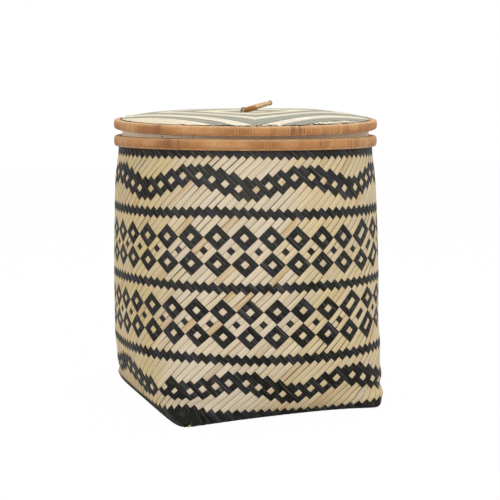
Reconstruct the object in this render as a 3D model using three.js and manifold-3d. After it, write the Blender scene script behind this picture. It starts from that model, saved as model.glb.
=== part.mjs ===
// Plaited laundry basket: square base, round mouth, cane-bound rim and a loose domed lid.
// Millimetres, +Z up. The origin is the middle of the base, and the front panel faces -Y.

import * as THREE from 'three';
import { mergeVertices } from 'three/addons/utils/BufferGeometryUtils.js';
import Module from 'manifold-3d';

// Wall of the basket
const WALL_HEIGHT = 401.3;
const PLAIT_THICKNESS = 2;
const BASE_HALF_WIDTH = 166;
const BELLY_HALF_WIDTH = 199.6;
const BASE_EDGE_RADIUS = 3;

// The wall's shape from the base to the belly's top. rise is a share of the height under the rim,
// spread runs from the base's half width (0) to the belly's (1), and squareness is the exponent of
// the rounded square that a level slice of the basket makes (2 is a circle).
const WALL_STATIONS = [
  { rise: 0, spread: 0, squareness: 20 },
  { rise: 0.02, spread: 0.15, squareness: 10 },
  { rise: 0.05, spread: 0.35, squareness: 5.4 },
  { rise: 0.12, spread: 0.54, squareness: 3.9 },
  { rise: 0.25, spread: 0.87, squareness: 2.7 },
  { rise: 0.5, spread: 0.99, squareness: 2.3 },
  { rise: 0.7, spread: 1, squareness: 2.15 },
  { rise: 0.88, spread: 0.965, squareness: 2 },
];

// Rim: two hoops with the wall's edge between them, wound with fine cane
const RIM_RADIUS = 200;
const RIM_HEIGHT = 16.8;
const RIM_CORNER_RADIUS = 2.5;
const BORE_CORNER = 1.5;
const BINDING_THICKNESS = 1.1;
const OUTER_HOOP_THICKNESS = 4.9;
const INNER_HOOP_THICKNESS = 1.8;
const FIT = 0.3;

// Where one length of the rim's cane ends and the next begins, in degrees from the front panel
const RIM_JOINTS = [-69, 15, 87, 159, 231];

// Collar that stands up inside the rim, and the pegs that stop it from sliding down. The pegs are
// set in pairs.
const COLLAR_THICKNESS = 3;
const COLLAR_BELOW_RIM = 6;
const PEG_PAIRS = 2;
const PEG_PAIR_ANGLE = 15.7;
const PEG_DIAMETER = 1.8;
const PEG_PROUD = 0.7;
const PEG_FIRST_ANGLE = -59.4;

// Lid. It is turned about the basket's axis, and sits a little low at its front.
const LID_TURN = -20.8;
const LID_TILT = 2.2;
const LID_GAP = 10.1;
const LID_CLEARANCE = 1.2;
const LID_RIM_HEIGHT = 14.5;
const LID_INNER_HOOP_THICKNESS = 1.5;
const LID_INNER_HOOP_HEIGHT = 7.5;
const DOME_HEIGHT = 25.2;
const DOME_FALL = 11.6;
const DOME_POWER = 4.6;
const DOME_SHOULDER = 3;
const DIMPLE_DEPTH = 3;
const DIMPLE_RADIUS = 24;

// Where the lid rim's lengths of cane meet, in degrees from the lid's front
const LID_JOINTS = [-60, 24, 54, 138, 222];

// Handle ring, tied down at one side of its section
const HANDLE_DIAMETER = 41.6;
const HANDLE_ROD = 5.8;
const HANDLE_OFFSET = -3.2;
const HANDLE_RISE = 15;
const HANDLE_STAND_OFF = 0.7;
const WRAP_CANE = 1;
const WRAP_TURNS = 9;
const WRAP_FROM = 37;
const WRAP_TO = 90;
const END_BAND_LENGTH = 5;
const END_BAND_THICKNESS = 0.8;
const END_BAND_ROOM = 0.45;
const TIE_COUNT = 3;
const TIE_CANE = 2;
const TIE_SPACING = 2.4;
const TIE_SIDE_ROOM = 1.2;

// Facets
const ROUND_STEPS = 60;
const BODY_START = 3;
const WALL_LEVELS = 12;
const DOME_RINGS = 6;
const WRAP_STEPS_PER_TURN = 24;
const TIE_STEPS = 16;

const radians = THREE.MathUtils.degToRad;
const lerp = THREE.MathUtils.lerp;
const wasm = await Module();
wasm.setup();

// A point on a level circle: the angle is counted from the front (-Y) towards +X
function polar(angle, radius, height) {
  return new THREE.Vector3(radius * Math.sin(angle), -radius * Math.cos(angle), height);
}

function geometryOf(points, triangles) {
  const geometry = new THREE.BufferGeometry();
  const numbers = points.flatMap((point) => point.toArray());
  geometry.setAttribute('position', new THREE.Float32BufferAttribute(numbers, 3));
  geometry.setIndex(triangles);
  geometry.computeVertexNormals();
  return geometry;
}

function toManifold(geometry) {
  const bare = geometry.clone();
  bare.deleteAttribute('normal');
  bare.deleteAttribute('uv');
  const merged = mergeVertices(bare, 1e-4);
  const vertProperties = new Float32Array(merged.attributes.position.array);
  const triVerts = new Uint32Array(merged.index.array);
  return new wasm.Manifold(new wasm.Mesh({ numProp: 3, vertProperties, triVerts }));
}

function cutAway(geometry, cutters) {
  let solid = toManifold(geometry);
  for (const cutter of cutters) {
    solid = solid.subtract(toManifold(cutter));
  }
  const mesh = solid.getMesh();
  const cut = new THREE.BufferGeometry();
  cut.setAttribute('position', new THREE.BufferAttribute(new Float32Array(mesh.vertProperties), 3));
  cut.setIndex(new THREE.BufferAttribute(new Uint32Array(mesh.triVerts), 1));
  cut.computeVertexNormals();
  return cut;
}

// A closed outline in radius and height, carried round the axis between two angles. Each end
// stands back by half the fit, so that neighbouring lengths don't touch.
function arcSolid(outline, fromDegrees, toDegrees) {
  const steps = Math.round(((toDegrees - fromDegrees) * ROUND_STEPS) / 360);
  const setBack = FIT / 2 / RIM_RADIUS;
  const start = radians(fromDegrees) + setBack;
  const end = radians(toDegrees) - setBack;
  const count = outline.length;
  const points = [];
  for (let i = 0; i <= steps; i += 1) {
    const angle = radians(lerp(fromDegrees, toDegrees, i / steps));
    const ended = THREE.MathUtils.clamp(angle, start, end);
    outline.forEach((point) => points.push(polar(ended, point.x, point.y)));
  }
  const triangles = [];
  for (let i = 0; i < steps; i += 1) {
    for (let j = 0; j < count; j += 1) {
      const a = i * count + j;
      const b = i * count + ((j + 1) % count);
      triangles.push(a, a + count, b + count, a, b + count, b);
    }
  }
  const last = steps * count;
  for (const [a, b, c] of THREE.ShapeUtils.triangulateShape(outline, [])) {
    triangles.push(a, b, c, last + a, last + c, last + b);
  }
  return geometryOf(points, triangles);
}

function hoop(innerRadius, outerRadius, low, high, startDegrees) {
  const profile = [
    new THREE.Vector2(innerRadius, low),
    new THREE.Vector2(outerRadius, low),
    new THREE.Vector2(outerRadius, high),
    new THREE.Vector2(innerRadius, high),
    new THREE.Vector2(innerRadius, low),
  ];
  return new THREE.LatheGeometry(profile, ROUND_STEPS, radians(startDegrees)).rotateX(Math.PI / 2);
}

// A tube of round section along a curve, with flat ends or closed on itself
function tubeSolid(curve, steps, radius, sides, closed) {
  const frames = curve.computeFrenetFrames(steps, closed);
  const rings = closed ? steps : steps + 1;
  const points = [];
  for (let i = 0; i < rings; i += 1) {
    const centre = curve.getPointAt(i / steps);
    for (let j = 0; j < sides; j += 1) {
      const turn = (2 * Math.PI * j) / sides;
      const point = centre.clone().addScaledVector(frames.normals[i], radius * Math.cos(turn));
      points.push(point.addScaledVector(frames.binormals[i], radius * Math.sin(turn)));
    }
  }
  const triangles = [];
  for (let i = 0; i < steps; i += 1) {
    const ring = i * sides;
    const next = ((i + 1) % rings) * sides;
    for (let j = 0; j < sides; j += 1) {
      const side = (j + 1) % sides;
      triangles.push(ring + j, ring + side, next + side, ring + j, next + side, next + j);
    }
  }
  if (!closed) {
    const last = steps * sides;
    for (let j = 1; j + 1 < sides; j += 1) {
      triangles.push(0, j + 1, j, last, last + j, last + j + 1);
    }
  }
  return geometryOf(points, triangles);
}

const straw = new THREE.MeshStandardMaterial({ color: 0xdcc492, roughness: 0.6 });
const blackStrip = new THREE.MeshStandardMaterial({ color: 0x2b2926, roughness: 0.55 });
const hoopCane = new THREE.MeshStandardMaterial({ color: 0xc39a63, roughness: 0.6 });
const bindingCane = new THREE.MeshStandardMaterial({ color: 0xc07c46, roughness: 0.5 });
const collarWood = new THREE.MeshStandardMaterial({ color: 0xd0b190, roughness: 0.6 });
const pegWood = new THREE.MeshStandardMaterial({ color: 0x5a3c22, roughness: 0.7 });
const handleCane = new THREE.MeshStandardMaterial({ color: 0xa98752, roughness: 0.55 });

function addPiece(parent, name, geometry, material) {
  const mesh = new THREE.Mesh(geometry, material.clone());
  mesh.name = name;
  parent.add(mesh);
}

function addBinding(parent, name, section, joints) {
  joints.forEach((from, i) => {
    const to = i + 1 < joints.length ? joints[i + 1] : joints[0] + 360;
    addPiece(parent, `${name}_${i + 1}`, arcSolid(section, from, to), bindingCane);
  });
}

const basket = new THREE.Group();

// Radii through the basket's rim, from the outside in, and its heights
const cavityRadius = RIM_RADIUS - BINDING_THICKNESS;
const outerHoopRadius = cavityRadius - FIT;
const wallTopRadius = outerHoopRadius - OUTER_HOOP_THICKNESS - FIT;
const innerHoopRadius = wallTopRadius - PLAIT_THICKNESS - FIT;
const boreCavityRadius = innerHoopRadius - INNER_HOOP_THICKNESS - FIT;
const boreRadius = boreCavityRadius - BINDING_THICKNESS;
const collarRadius = boreRadius - FIT;
const rimTop = WALL_HEIGHT + FIT + BINDING_THICKNESS;
const rimBottom = rimTop - RIM_HEIGHT;
const hoopBottom = rimBottom + BINDING_THICKNESS + FIT;

// Woven body: a shell whose level slices are rounded squares |x/w|^n + |y/w|^n = 1
function slice(halfWidth, squareness, height) {
  const points = [];
  for (let i = 0; i < ROUND_STEPS; i += 1) {
    const angle = radians(BODY_START + (360 * i) / ROUND_STEPS);
    const power = Math.abs(Math.sin(angle)) ** squareness + Math.abs(Math.cos(angle)) ** squareness;
    points.push(polar(angle, halfWidth * power ** (-1 / squareness), height));
  }
  return points;
}

function wallLevels() {
  const stations = WALL_STATIONS.map((station) => {
    const halfWidth = lerp(BASE_HALF_WIDTH, BELLY_HALF_WIDTH, station.spread);
    return new THREE.Vector3(halfWidth, station.squareness, station.rise * rimBottom);
  });
  stations.push(new THREE.Vector3(wallTopRadius, 2, rimBottom));
  const levels = new THREE.CatmullRomCurve3(stations, false, 'centripetal').getPoints(WALL_LEVELS);
  levels.push(new THREE.Vector3(wallTopRadius, 2, WALL_HEIGHT));
  return levels.filter((level) => level.z > BASE_EDGE_RADIUS);
}

function wovenBody() {
  const levels = wallLevels();
  const flatHalfWidth = BASE_HALF_WIDTH - BASE_EDGE_RADIUS;
  const squareness = WALL_STATIONS[0].squareness;
  const rings = [
    slice(flatHalfWidth, squareness, 0),
    slice(BASE_HALF_WIDTH, squareness, BASE_EDGE_RADIUS),
    ...levels.map((level) => slice(level.x, level.y, level.z)),
    ...levels.reverse().map((level) => slice(level.x - PLAIT_THICKNESS, level.y, level.z)),
    slice(flatHalfWidth, squareness, PLAIT_THICKNESS),
  ];
  const points = [new THREE.Vector3(0, 0, 0), ...rings.flat(), new THREE.Vector3(0, 0, PLAIT_THICKNESS)];
  const floorCentre = points.length - 1;
  const floorRing = floorCentre - ROUND_STEPS;
  const triangles = [];
  for (let j = 0; j < ROUND_STEPS; j += 1) {
    const next = (j + 1) % ROUND_STEPS;
    triangles.push(0, 1 + next, 1 + j, floorRing + j, floorRing + next, floorCentre);
    for (let i = 0; i + 1 < rings.length; i += 1) {
      const low = 1 + i * ROUND_STEPS;
      const high = low + ROUND_STEPS;
      triangles.push(low + j, low + next, high + next, low + j, high + next, high + j);
    }
  }
  return geometryOf(points, triangles);
}

addPiece(basket, 'woven_body', wovenBody(), straw);

// Rim hoops, either side of the wall's top edge
const outerHoopBore = outerHoopRadius - OUTER_HOOP_THICKNESS;
const outerHoop = hoop(outerHoopBore, outerHoopRadius, hoopBottom, WALL_HEIGHT, BODY_START);
addPiece(basket, 'rim_outer_hoop', outerHoop, hoopCane);
const innerHoopBore = innerHoopRadius - INNER_HOOP_THICKNESS;
const innerHoop = hoop(innerHoopBore, innerHoopRadius, hoopBottom, WALL_HEIGHT, BODY_START);
addPiece(basket, 'rim_inner_hoop', innerHoop, hoopCane);

// Rim binding: a hollow box section round both hoops, with a slot below for the wall
function rimBindingSection() {
  const cavityLow = rimBottom + BINDING_THICKNESS;
  const cavityHigh = rimTop - BINDING_THICKNESS;
  const path = new THREE.Path();
  path.moveTo(outerHoopBore, rimBottom);
  path.lineTo(RIM_RADIUS - RIM_CORNER_RADIUS, rimBottom);
  const cornerRadius = RIM_RADIUS - RIM_CORNER_RADIUS;
  path.absarc(cornerRadius, rimBottom + RIM_CORNER_RADIUS, RIM_CORNER_RADIUS, -Math.PI / 2, 0, false);
  path.absarc(cornerRadius, rimTop - RIM_CORNER_RADIUS, RIM_CORNER_RADIUS, 0, Math.PI / 2, false);
  path.lineTo(boreRadius + BORE_CORNER, rimTop);
  path.lineTo(boreRadius, rimTop - BORE_CORNER);
  path.lineTo(boreRadius, rimBottom + BORE_CORNER);
  path.lineTo(boreRadius + BORE_CORNER, rimBottom);
  path.lineTo(innerHoopRadius, rimBottom);
  path.lineTo(innerHoopRadius, cavityLow);
  path.lineTo(boreCavityRadius, cavityLow);
  path.lineTo(boreCavityRadius, cavityHigh);
  path.lineTo(cavityRadius, cavityHigh);
  path.lineTo(cavityRadius, cavityLow);
  path.lineTo(outerHoopBore, cavityLow);
  return path.getPoints(1);
}

addBinding(basket, 'rim_binding', rimBindingSection(), RIM_JOINTS);

// Lid: radii through its rim, from the outside in, and heights above the underside of its rim
const lidBoreRadius = collarRadius + LID_CLEARANCE;
const lidBoreCavityRadius = lidBoreRadius + BINDING_THICKNESS;
const lidInnerHoopBore = lidBoreCavityRadius + FIT;
const lidInnerHoopRadius = lidInnerHoopBore + LID_INNER_HOOP_THICKNESS;
const edgeRadius = lidInnerHoopRadius + FIT + PLAIT_THICKNESS;
const lidOuterHoopBore = edgeRadius + FIT;
const lidHoopLow = BINDING_THICKNESS + FIT;
const lidHoopHigh = LID_RIM_HEIGHT - BINDING_THICKNESS - FIT;
const lidTilt = radians(LID_TILT);
const lidRest = rimTop + LID_GAP;

const lidTurn = new THREE.Group();
lidTurn.rotation.z = radians(LID_TURN);
basket.add(lidTurn);
const lid = new THREE.Group();
lid.position.z = lidRest;
lid.rotation.x = lidTilt;
lidTurn.add(lid);

// The dome falls towards its edge as a power of the radius, and dips where the handle is tied
function domeTop(radius) {
  const dip = DIMPLE_DEPTH * Math.exp(-((radius / DIMPLE_RADIUS) ** 2));
  return DOME_HEIGHT - DOME_FALL * (radius / edgeRadius) ** DOME_POWER - dip;
}

function wovenLid() {
  const shoulderRadius = edgeRadius - DOME_SHOULDER;
  const shoulderTop = domeTop(shoulderRadius);
  const upper = [];
  for (let i = DOME_RINGS; i >= 0; i -= 1) {
    const radius = (shoulderRadius * i) / DOME_RINGS;
    upper.push(new THREE.Vector2(radius, domeTop(radius)));
  }
  const lower = upper.map((p) => new THREE.Vector2(p.x, p.y - PLAIT_THICKNESS)).reverse();
  const innerEdge = edgeRadius - PLAIT_THICKNESS;
  const edgeTop = shoulderTop - DOME_SHOULDER;
  const profile = [
    ...lower,
    new THREE.Vector2(innerEdge, edgeTop - PLAIT_THICKNESS / 2),
    new THREE.Vector2(innerEdge, lidHoopLow),
    new THREE.Vector2(edgeRadius, lidHoopLow),
    new THREE.Vector2(edgeRadius, edgeTop),
    new THREE.Vector2(edgeRadius - DOME_SHOULDER * 0.3, shoulderTop - DOME_SHOULDER * 0.3),
    ...upper,
  ];
  return new THREE.LatheGeometry(profile, ROUND_STEPS).rotateX(Math.PI / 2);
}

// Collar: it reaches up to the dome's underside where the lid sits lowest
const rimUnderDome = domeTop(collarRadius) - PLAIT_THICKNESS;
const collarTop = lidRest + rimUnderDome * Math.cos(lidTilt) - collarRadius * Math.sin(lidTilt) - FIT;
const collarBore = collarRadius - COLLAR_THICKNESS;

// A peg lies on a radius of the basket, just over the rim
function peg(index, extraRadius, extraLength) {
  const radius = PEG_DIAMETER / 2;
  const length = COLLAR_THICKNESS + 2 * PEG_PROUD + extraLength;
  const pair = Math.floor(index / 2);
  const angle = radians(PEG_FIRST_ANGLE + (360 * pair) / PEG_PAIRS + PEG_PAIR_ANGLE * (index % 2));
  const shape = new THREE.CylinderGeometry(radius + extraRadius, radius + extraRadius, length, 6);
  shape.rotateY(Math.PI / 6);
  shape.translate(0, -(collarBore + collarRadius) / 2, rimTop + FIT + radius);
  return shape.rotateZ(angle);
}

const pegIndices = Array.from({ length: 2 * PEG_PAIRS }, (_, index) => index);
const pegRoom = FIT / Math.cos(Math.PI / 6);
const pegHoles = pegIndices.map((index) => peg(index, pegRoom, COLLAR_THICKNESS));
const collarBottom = rimBottom - COLLAR_BELOW_RIM;
const collar = hoop(collarBore, collarRadius, collarBottom, collarTop, BODY_START);
addPiece(basket, 'mouth_collar', cutAway(collar, pegHoles), collarWood);
pegIndices.forEach((index) => addPiece(basket, `collar_peg_${index + 1}`, peg(index, 0, 0), pegWood));

// Lid hoops
const lidOuterHoop = hoop(lidOuterHoopBore, outerHoopRadius, lidHoopLow, lidHoopHigh, 0);
addPiece(lid, 'lid_outer_hoop', lidOuterHoop, hoopCane);
const lidInnerHoopHigh = lidHoopLow + LID_INNER_HOOP_HEIGHT;
const lidInnerHoop = hoop(lidInnerHoopBore, lidInnerHoopRadius, lidHoopLow, lidInnerHoopHigh, 0);
addPiece(lid, 'lid_inner_hoop', lidInnerHoop, hoopCane);

// Lid binding: as the rim's, but its slot is above, where the dome's edge comes down
function lidBindingSection() {
  const lipLow = lidInnerHoopHigh + FIT;
  const lipHigh = lipLow + BINDING_THICKNESS;
  const cavityHigh = LID_RIM_HEIGHT - BINDING_THICKNESS;
  const cornerRadius = RIM_RADIUS - RIM_CORNER_RADIUS;
  const path = new THREE.Path();
  path.moveTo(lidInnerHoopRadius, lipHigh);
  path.lineTo(lidBoreRadius, lipHigh);
  path.lineTo(lidBoreRadius, BORE_CORNER);
  path.lineTo(lidBoreRadius + BORE_CORNER, 0);
  path.lineTo(cornerRadius, 0);
  path.absarc(cornerRadius, RIM_CORNER_RADIUS, RIM_CORNER_RADIUS, -Math.PI / 2, 0, false);
  path.absarc(cornerRadius, LID_RIM_HEIGHT - RIM_CORNER_RADIUS, RIM_CORNER_RADIUS, 0, Math.PI / 2, false);
  path.lineTo(lidOuterHoopBore, LID_RIM_HEIGHT);
  path.lineTo(lidOuterHoopBore, cavityHigh);
  path.lineTo(cavityRadius, cavityHigh);
  path.lineTo(cavityRadius, BINDING_THICKNESS);
  path.lineTo(lidBoreCavityRadius, BINDING_THICKNESS);
  path.lineTo(lidBoreCavityRadius, lipLow);
  path.lineTo(lidInnerHoopRadius, lipLow);
  return path.getPoints(1);
}

addBinding(lid, 'lid_binding', lidBindingSection(), LID_JOINTS);

// Handle: its hinge line runs through the tied side of the ring, along the lid's own Y
const handleRadius = HANDLE_DIAMETER / 2;
const wrapRadius = HANDLE_ROD / 2 + FIT + WRAP_CANE / 2;
const hingeHeight = domeTop(0) + HANDLE_STAND_OFF + wrapRadius + WRAP_CANE / 2;

const handle = new THREE.Group();
handle.position.set(HANDLE_OFFSET, 0, hingeHeight);
handle.rotation.y = -radians(HANDLE_RISE);
lid.add(handle);

const ring = new THREE.TorusGeometry(handleRadius, HANDLE_ROD / 2, 8, 24).translate(handleRadius, 0, 0);
addPiece(handle, 'handle_ring', ring, handleCane);

// The wrap winds round the ring's rod between two angles, counted round the ring from the ties
class WrapCurve extends THREE.Curve {
  getPoint(t, target = new THREE.Vector3()) {
    const along = radians(lerp(WRAP_FROM, WRAP_TO, t));
    const turn = 2 * Math.PI * WRAP_TURNS * t;
    const reach = handleRadius + wrapRadius * Math.cos(turn);
    const height = wrapRadius * Math.sin(turn);
    return target.set(handleRadius - reach * Math.cos(along), -reach * Math.sin(along), height);
  }
}

function leastGapToItself(curve, steps, stepsApart, diameter) {
  const points = curve.getSpacedPoints(steps);
  let least = Infinity;
  for (let i = 0; i < points.length; i += 1) {
    for (let j = i + stepsApart; j < points.length; j += 1) {
      least = Math.min(least, points[i].distanceTo(points[j]) - diameter);
    }
  }
  return least;
}

const wrapCurve = new WrapCurve();
wrapCurve.arcLengthDivisions = 1000;
const wrapSteps = WRAP_TURNS * WRAP_STEPS_PER_TURN;
const wrapGap = leastGapToItself(wrapCurve, wrapSteps, WRAP_STEPS_PER_TURN / 2, WRAP_CANE);
console.log(`handle wrap: least gap to itself ${wrapGap.toFixed(2)} mm`);
addPiece(handle, 'handle_wrap', tubeSolid(wrapCurve, wrapSteps, WRAP_CANE / 2, 6, false), bindingCane);

// A short sleeve round the rod, opposite the ties
const bandBore = HANDLE_ROD / 2 + END_BAND_ROOM;
const bandProfile = [
  new THREE.Vector2(bandBore, -END_BAND_LENGTH / 2),
  new THREE.Vector2(bandBore + END_BAND_THICKNESS, -END_BAND_LENGTH / 2),
  new THREE.Vector2(bandBore + END_BAND_THICKNESS, END_BAND_LENGTH / 2),
  new THREE.Vector2(bandBore, END_BAND_LENGTH / 2),
  new THREE.Vector2(bandBore, -END_BAND_LENGTH / 2),
];
const endBand = new THREE.LatheGeometry(bandProfile, 12).translate(HANDLE_DIAMETER, 0, 0);
addPiece(handle, 'handle_end_band', endBand, blackStrip);

// Ties: oval turns of strip that pass through the dome and over the rod
class TieCurve extends THREE.Curve {
  constructor(offset) {
    super();
    const low = domeTop(0) - PLAIT_THICKNESS - FIT - TIE_CANE / 2;
    const high = hingeHeight + HANDLE_ROD / 2 + FIT + TIE_CANE / 2;
    this.centre = new THREE.Vector3(HANDLE_OFFSET, offset, (low + high) / 2);
    this.halfHeight = (high - low) / 2;
    this.halfWidth = HANDLE_ROD / 2 + TIE_SIDE_ROOM + TIE_CANE / 2;
  }

  getPoint(t, target = new THREE.Vector3()) {
    const turn = 2 * Math.PI * t;
    target.set(this.halfWidth * Math.cos(turn), 0, this.halfHeight * Math.sin(turn));
    return target.add(this.centre);
  }
}

const tieHoles = [];
for (let i = 0; i < TIE_COUNT; i += 1) {
  const curve = new TieCurve((i - (TIE_COUNT - 1) / 2) * TIE_SPACING);
  tieHoles.push(tubeSolid(curve, TIE_STEPS, TIE_CANE / 2 + FIT, 6, true));
  addPiece(lid, `handle_tie_${i + 1}`, tubeSolid(curve, TIE_STEPS, TIE_CANE / 2, 6, true), blackStrip);
}
addPiece(lid, 'woven_lid', cutAway(wovenLid(), tieHoles), straw);

export default basket;
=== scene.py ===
import math

import bpy
import numpy as np
from mathutils import Matrix, Vector


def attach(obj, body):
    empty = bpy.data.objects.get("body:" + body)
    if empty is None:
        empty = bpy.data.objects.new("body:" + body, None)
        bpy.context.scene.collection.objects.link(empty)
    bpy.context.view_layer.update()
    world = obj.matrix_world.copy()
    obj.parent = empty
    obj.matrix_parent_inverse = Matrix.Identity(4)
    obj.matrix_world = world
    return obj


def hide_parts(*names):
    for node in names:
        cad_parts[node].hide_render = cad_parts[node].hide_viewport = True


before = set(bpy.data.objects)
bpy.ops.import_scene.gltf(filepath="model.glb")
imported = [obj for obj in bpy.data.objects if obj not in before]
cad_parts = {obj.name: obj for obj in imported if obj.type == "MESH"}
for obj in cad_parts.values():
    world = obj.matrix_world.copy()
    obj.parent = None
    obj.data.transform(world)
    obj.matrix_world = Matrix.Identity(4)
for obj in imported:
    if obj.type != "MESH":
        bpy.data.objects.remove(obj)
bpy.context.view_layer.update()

# The view: two panels of the basket, seen from just over the height of its lid.
# The camera stands far off with a narrow angle and looks slightly down.
VIEW_DISTANCE = 1.781
VIEW_HEIGHT = 0.457
VIEW_TURN = math.radians(-20.9)
AIM_HEIGHT = 0.2244
VIEW_YAW = 0.0041
VIEW_LEAN = 0.002
LENS = 83.4

camera = bpy.data.objects.new("camera", bpy.data.cameras.new("camera"))
bpy.context.scene.collection.objects.link(camera)
camera.data.lens = LENS
camera.data.sensor_width = 36
camera.data.clip_start = 0.05
view_pitch = math.atan2(VIEW_HEIGHT - AIM_HEIGHT, VIEW_DISTANCE)
camera.matrix_world = (
    Matrix.Rotation(VIEW_TURN, 4, "Z")
    @ Matrix.Translation((0, -VIEW_DISTANCE, VIEW_HEIGHT))
    @ Matrix.Rotation(-VIEW_YAW, 4, "Z")
    @ Matrix.Rotation(math.pi / 2 - view_pitch, 4, "X")
    @ Matrix.Rotation(VIEW_LEAN, 4, "Z")
)
bpy.context.scene.camera = camera
bpy.context.scene.view_settings.view_transform = "Standard"

# The light: soft and pale, from the front and a little right, from the left, and from above.
# The world is plain white where the camera or a reflection sees it, and dimmer as a light.
WORLD_LIGHT = 0.5
LAMPS = {
    "key": {"place": (0.5, -2.4, 1.9), "size": 1.6, "power": 35},
    "left_fill": {"place": (-2.6, -0.9, 1.1), "size": 1.8, "power": 19},
    "top": {"place": (0.2, 0.3, 2.6), "size": 1.8, "power": 40},
}
LAMP_AIM = Vector((0, 0, 0.22))

for lamp_name, lamp in LAMPS.items():
    light = bpy.data.lights.new(lamp_name, "AREA")
    light.shape = "DISK"
    light.size = lamp["size"]
    light.energy = lamp["power"]
    light_object = bpy.data.objects.new(lamp_name, light)
    bpy.context.scene.collection.objects.link(light_object)
    light_object.location = lamp["place"]
    away = light_object.location - LAMP_AIM
    light_object.rotation_euler = away.to_track_quat("Z", "Y").to_euler()


class Socket:
    """A shader number. Each operator adds a Math node."""

    def __init__(self, tree, link):
        self.tree = tree
        self.link = link

    def combine(self, operation, first, second):
        """The result of one Math node on two numbers or sockets."""
        math_node = self.tree.nodes.new("ShaderNodeMath")
        math_node.operation = operation
        for slot, value in zip(math_node.inputs, (first, second)):
            plug_in(self.tree, slot, value)
        return Socket(self.tree, math_node.outputs[0])

    def __add__(self, other):
        return self.combine("ADD", self, other)

    def __sub__(self, other):
        return self.combine("SUBTRACT", self, other)

    def __mul__(self, other):
        return self.combine("MULTIPLY", self, other)

    def __rsub__(self, other):
        return self.combine("SUBTRACT", other, self)

    def __abs__(self):
        return self.combine("ABSOLUTE", self, 0.0)

    __radd__ = __add__
    __rmul__ = __mul__

    def clamp(self):
        """The number, held between 0 and 1."""
        return self.combine("MINIMUM", self.combine("MAXIMUM", self, 0.0), 1.0)


def plug_in(tree, slot, value):
    """Links a socket to an input, or sets the input's own value to a number or a colour."""
    if isinstance(value, Socket):
        tree.links.new(value.link, slot)
    elif isinstance(value, tuple) and len(value) == 3 and len(slot.default_value) == 4:
        slot.default_value = (*value, 1)
    else:
        slot.default_value = value


world = bpy.data.worlds.new("white")
bpy.context.scene.world = world
world.use_nodes = True
background = world.node_tree.nodes["Background"]
path = world.node_tree.nodes.new("ShaderNodeLightPath")
rays = [path.outputs[f"Is {kind} Ray"] for kind in ("Camera", "Glossy", "Transmission")]
camera_ray, glossy_ray, glass_ray = [Socket(world.node_tree, ray) for ray in rays]
seen = (camera_ray + glossy_ray + glass_ray).clamp()
plug_in(world.node_tree, background.inputs["Color"], (1, 1, 1))
plug_in(world.node_tree, background.inputs["Strength"], WORLD_LIGHT + seen * (1 - WORLD_LIGHT))

# The floor: one wide pale sheet that the basket stands on and isn't a part of. The camera sees it
# nearly white, and it keeps the basket's soft shadow.
FLOOR_REACH = 6.0
FLOOR_COLOUR = (0.82, 0.82, 0.81)
FLOOR_GLOW = 0.985


class Finish:
    """A material, its Principled shader, and one way to add any other node."""

    def __init__(self, name, roughness, specular=0.5):
        self.material = bpy.data.materials.new(name)
        self.material.use_nodes = True
        self.tree = self.material.node_tree
        self.shader = self.tree.nodes["Principled BSDF"]
        self.shader.inputs["Roughness"].default_value = roughness
        self.shader.inputs["Specular IOR Level"].default_value = specular

    def node(self, kind, settings, inputs, output=0):
        """Adds a node, sets it, and fills its inputs."""
        made = self.tree.nodes.new(kind)
        for key, value in settings.items():
            setattr(made, key, value)
        for slot, value in inputs.items():
            plug_in(self.tree, made.inputs[slot], value)
        return Socket(self.tree, made.outputs[output])

    def mix(self, share, first, second, blend="MIX"):
        """The first colour, and the second over it by the share."""
        settings = {"data_type": "RGBA", "blend_type": blend}
        return self.node("ShaderNodeMix", settings, {0: share, 6: first, 7: second}, 2)

    def step(self, value, low, high):
        """0 where the value is low, 1 where it is high, and smooth between."""
        inputs = {"Value": value, "From Min": low, "From Max": high}
        return self.node("ShaderNodeMapRange", {"interpolation_type": "SMOOTHSTEP"}, inputs)

    def layer(self, colour, other, value, low, high, most=1.0):
        """The colour, and another over it by the value's step, at most by the share given."""
        return self.mix(self.step(value, low, high) * most, colour, other)

    def shaded(self, colour, shade):
        """The colour times a number."""
        return self.mix(1.0, colour, self.vector(shade, shade, shade), "MULTIPLY")

    def vector(self, x, y, z):
        """A vector from three numbers."""
        return self.node("ShaderNodeCombineXYZ", {}, {0: x, 1: y, 2: z})

    def parts(self, vector):
        """The three numbers of a vector."""
        split = self.node("ShaderNodeSeparateXYZ", {}, {0: vector})
        return [Socket(self.tree, output) for output in split.link.node.outputs]

    def noise(self, vector, detail=2.0, roughness=0.5, scale=1.0):
        """Noise about 0.5 at a vector times the scale."""
        inputs = {"Vector": vector, "Scale": scale, "Detail": detail, "Roughness": roughness}
        return self.node("ShaderNodeTexNoise", {}, inputs)

    def place(self):
        """Object coordinates: the part's own frame, in metres."""
        return self.node("ShaderNodeTexCoord", {}, {}, 3)

    def attribute(self, name):
        """A number that the mesh carries at its points."""
        return self.node("ShaderNodeAttribute", {"attribute_name": name}, {}, 2)

    def way_across(self):
        """The way along a tube and the share across it."""
        return self.parts(self.node("ShaderNodeUVMap", {"uv_map": "strip_uv"}, {}))[:2]

    def finish(self, colour, bump=None, depth=0.0002, strength=0.6):
        """Plugs in the colour and any bump."""
        plug_in(self.tree, self.shader.inputs["Base Color"], colour)
        if bump is not None:
            inputs = {"Height": bump, "Distance": depth, "Strength": strength}
            normal = self.node("ShaderNodeBump", {}, inputs)
            plug_in(self.tree, self.shader.inputs["Normal"], normal)
        return self.material


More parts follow.
